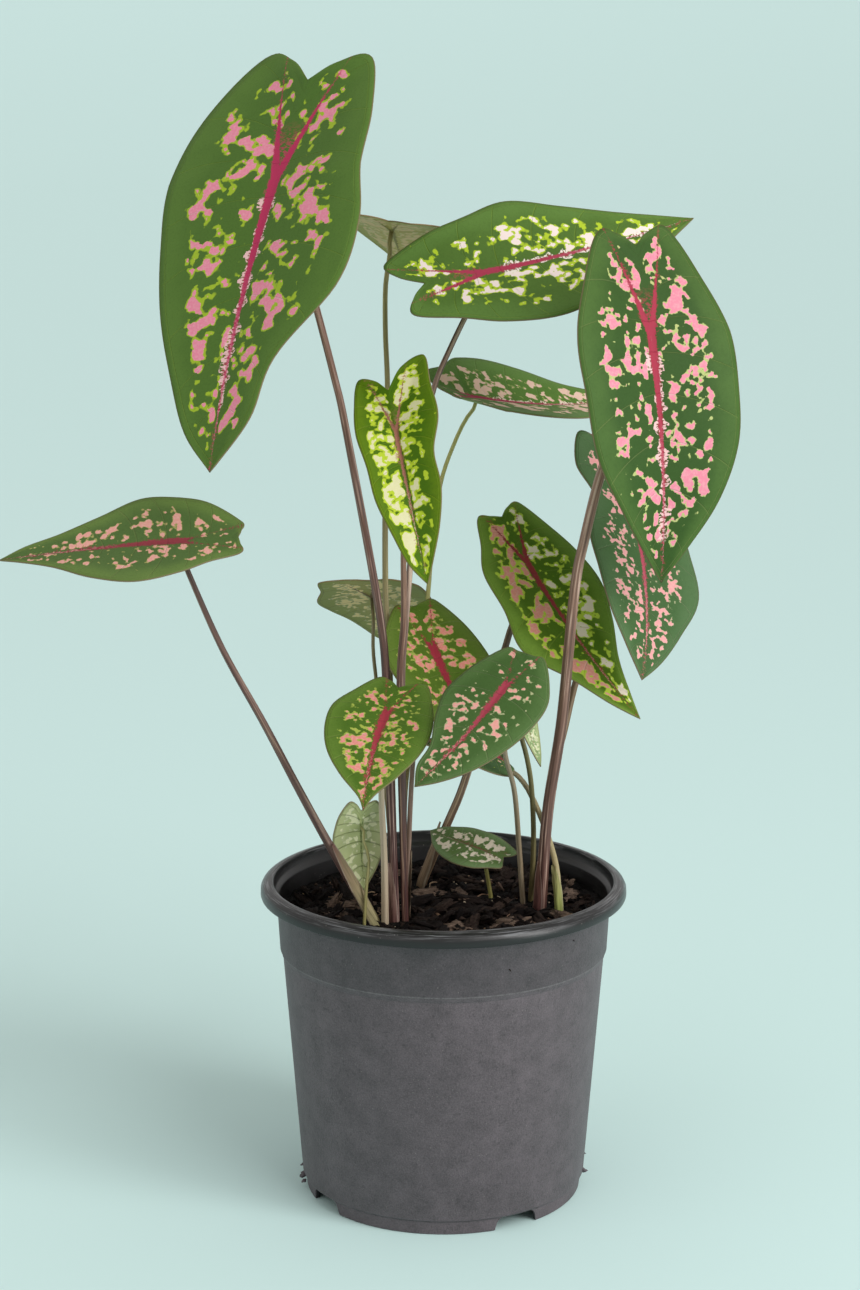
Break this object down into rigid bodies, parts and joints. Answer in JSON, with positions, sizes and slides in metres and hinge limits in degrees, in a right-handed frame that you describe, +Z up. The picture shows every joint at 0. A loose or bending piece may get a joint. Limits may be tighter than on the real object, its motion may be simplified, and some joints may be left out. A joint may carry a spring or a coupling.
{
  "type": "potted caladium",
  "caption": "Caladium house plant with arrow-shaped patterned leaves on slender stalks, growing from tubers in a round nursery pot of potting mix.",
  "frame": {"origin": "centre of the circle that the pot stands on, at floor level", "axes": "+Z up along the pot's axis, -Y towards the side that the plant is seen from, +X to that viewer's right"},
  "size_m": [0.3279, 0.224, 0.5237],
  "materials": {
    "pot_plastic": "satin",
    "potting_mix_brown": "matte",
    "tuber_skin": "matte",
    "leaf_green": "satin",
    "stem_brown": "satin"
  },
  "bodies": {
    "root": {"pot": "pot_plastic", "potting_mix": "potting_mix_brown", "tuber_front": "tuber_skin", "tuber_back": "tuber_skin", "tuber_right": "tuber_skin", "blade_01": "leaf_green", "blade_02": "leaf_green", "blade_03": "leaf_green", "blade_04": "leaf_green", "blade_05": "leaf_green", "blade_06": "leaf_green", "blade_07": "leaf_green", "blade_08": "leaf_green", "blade_09": "leaf_green", "blade_10": "leaf_green", "blade_11": "leaf_green", "blade_12": "leaf_green", "blade_13": "leaf_green", "blade_14": "leaf_green", "blade_15": "leaf_green", "blade_16": "leaf_green", "blade_17": "leaf_green", "stem_01": "stem_brown", "stem_02": "stem_brown", "stem_03": "stem_brown", "stem_04": "stem_brown", "stem_05": "stem_brown", "stem_06": "stem_brown", "stem_07": "stem_brown", "stem_08": "stem_brown", "stem_09": "stem_brown", "stem_10": "stem_brown", "stem_11": "stem_brown", "stem_12": "stem_brown", "stem_13": "stem_brown", "stem_14": "stem_brown", "stem_15": "stem_brown", "stem_16": "stem_brown", "stem_17": "stem_brown"}
  },
  "joints": []
}
